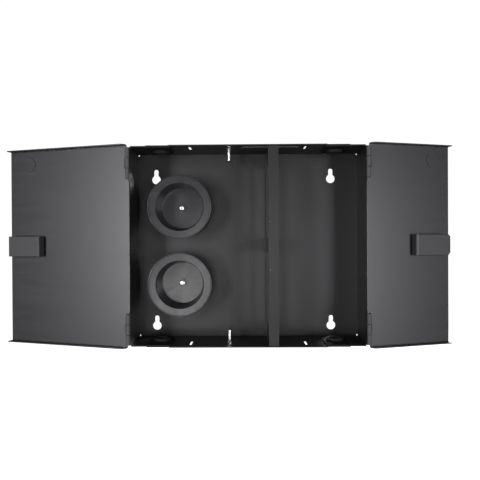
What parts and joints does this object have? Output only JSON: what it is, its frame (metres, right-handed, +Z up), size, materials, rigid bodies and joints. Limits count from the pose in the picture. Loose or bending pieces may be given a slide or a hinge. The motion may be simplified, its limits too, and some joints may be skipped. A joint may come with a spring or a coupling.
{
  "type": "fiber termination box",
  "caption": "Wall-mount sheet steel enclosure with hinged doors, slack spools, an adapter partition and gasketed cable entries for terminating optical fiber.",
  "frame": {"origin": "centre of the outer back face, which lies on the wall", "axes": "+X right, +Z up, +Y into the wall; the box stands at negative Y and its doors are stored open"},
  "size_m": [0.7037, 0.09, 0.3072],
  "materials": {
    "black_powder_coat": "fine satin powder coat",
    "spool_plastic": "satin moulded",
    "latch_plastic": "satin moulded",
    "grommet_rubber": "matt",
    "zinc_plated_steel": "bright zinc",
    "spring_steel": "drawn wire"
  },
  "bodies": {
    "enclosure": {"body_pan": "black_powder_coat", "partition_bracket": "black_powder_coat", "partition_studs": "zinc_plated_steel", "partition_nuts": "zinc_plated_steel", "upper_spool": "spool_plastic", "lower_spool": "spool_plastic", "spool_standoffs": "zinc_plated_steel", "spool_screws": "zinc_plated_steel", "tray_studs": "zinc_plated_steel", "upper_right_cable_grommet": "grommet_rubber", "upper_right_hinge_body_leaf": "black_powder_coat", "upper_right_hinge_pin": "black_powder_coat", "upper_left_cable_grommet": "grommet_rubber", "upper_left_hinge_body_leaf": "black_powder_coat", "upper_left_hinge_pin": "black_powder_coat", "lower_right_cable_grommet": "grommet_rubber", "lower_right_hinge_body_leaf": "black_powder_coat", "lower_right_hinge_pin": "black_powder_coat", "lower_left_cable_grommet": "grommet_rubber", "lower_left_hinge_body_leaf": "black_powder_coat", "lower_left_hinge_pin": "black_powder_coat"},
    "right_door": {"right_door_panel": "black_powder_coat", "upper_right_hinge_door_leaf": "black_powder_coat", "lower_right_hinge_door_leaf": "black_powder_coat", "right_latch_housing": "latch_plastic", "right_latch_bezel": "latch_plastic", "right_latch_spring": "spring_steel"},
    "right_latch": {"right_latch_bolt": "latch_plastic", "right_latch_thumb_slide": "latch_plastic"},
    "left_door": {"left_door_panel": "black_powder_coat", "upper_left_hinge_door_leaf": "black_powder_coat", "lower_left_hinge_door_leaf": "black_powder_coat", "left_latch_housing": "latch_plastic", "left_latch_bezel": "latch_plastic", "left_latch_spring": "spring_steel"},
    "left_latch": {"left_latch_bolt": "latch_plastic", "left_latch_thumb_slide": "latch_plastic"}
  },
  "joints": [
    {"name": "right_door_hinge", "type": "hinge", "parent": "enclosure", "child": "right_door", "pos_m": [0.1795, -0.083, 0], "axis": [0, 0, 1], "range_deg": [-196.6, 0]},
    {"name": "right_latch_slide", "type": "slide", "parent": "right_door", "child": "right_latch", "axis": [-0.9583, -0.2857, 0], "range_m": [0, 0.008], "stiffness_N_per_m": 150, "springref_m": -0.01, "deforming": ["right_latch_spring"]},
    {"name": "left_door_hinge", "type": "hinge", "parent": "enclosure", "child": "left_door", "pos_m": [-0.1795, -0.083, 0], "axis": [0, 0, -1], "range_deg": [-196.6, 0]},
    {"name": "left_latch_slide", "type": "slide", "parent": "left_door", "child": "left_latch", "axis": [0.9583, -0.2857, 0], "range_m": [0, 0.008], "stiffness_N_per_m": 150, "springref_m": -0.01, "deforming": ["left_latch_spring"]}
  ]
}
